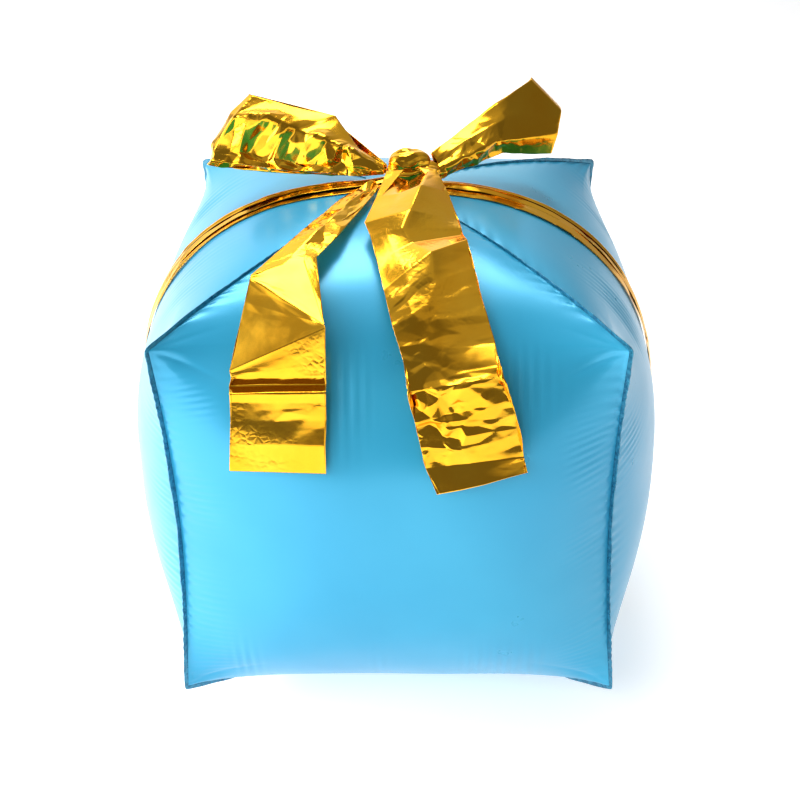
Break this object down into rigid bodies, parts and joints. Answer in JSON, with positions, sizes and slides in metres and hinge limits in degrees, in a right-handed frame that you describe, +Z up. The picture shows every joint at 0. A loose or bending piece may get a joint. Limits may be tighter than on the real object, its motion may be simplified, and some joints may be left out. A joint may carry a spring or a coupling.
{
  "type": "gift box foil balloon",
  "caption": "Air-filled blue foil balloon shaped like a gift box, standing on its flattened base and tied with a wide gold foil ribbon, a bow and hanging tails.",
  "frame": {"origin": "middle of the flat patch that the balloon stands on, on the surface it stands on", "axes": "+Z up, -Y to the front, where the bow's tails hang, +X to the object's left as it faces the viewer, which is the viewer's right"},
  "size_m": [0.4704, 0.473, 0.499],
  "materials": {
    "blue_film": "satin metallised film, light blue",
    "clear_film": "clear film",
    "gold_foil": "mirror-bright metallised gold foil, creased"
  },
  "bodies": {
    "balloon": {"front_panel": "blue_film", "right_panel": "blue_film", "back_panel": "blue_film", "left_panel": "blue_film", "seam_front_right": "blue_film", "seam_back_right": "blue_film", "seam_back_left": "blue_film", "seam_front_left": "blue_film", "valve_sleeve": "clear_film", "wrap_strap": "gold_foil", "bow_knot": "gold_foil"},
    "neck": {"inflation_neck": "blue_film"},
    "loop_left": {"bow_loop_left": "gold_foil"},
    "loop_right": {"bow_loop_right": "gold_foil"},
    "tail_left": {"tail_left": "gold_foil"},
    "tail_right": {"tail_right": "gold_foil"}
  },
  "joints": [
    {"name": "tail_left_lift", "type": "hinge", "parent": "balloon", "child": "tail_left", "pos_m": [-0.018, -0.004, 0.444], "axis": [-0.8821, 0.4711, 0], "range_deg": [0, 65]},
    {"name": "tail_right_lift", "type": "hinge", "parent": "balloon", "child": "tail_right", "pos_m": [0.0115, -0.014, 0.458], "axis": [-1, 0, 0], "range_deg": [0, 65]},
    {"name": "loop_left_tilt", "type": "hinge", "parent": "balloon", "child": "loop_left", "pos_m": [-0.011, 0.009, 0.452], "axis": [0, 1, 0], "range_deg": [-3, 35]},
    {"name": "loop_right_tilt", "type": "hinge", "parent": "balloon", "child": "loop_right", "pos_m": [0.039, 0.011, 0.4515], "axis": [0, -1, 0], "range_deg": [-3, 35]},
    {"name": "neck_fold", "type": "hinge", "parent": "balloon", "child": "neck", "pos_m": [-0.18875, 0.18875, 0.15], "axis": [0, 0, 1], "range_deg": [-65, 65]}
  ]
}
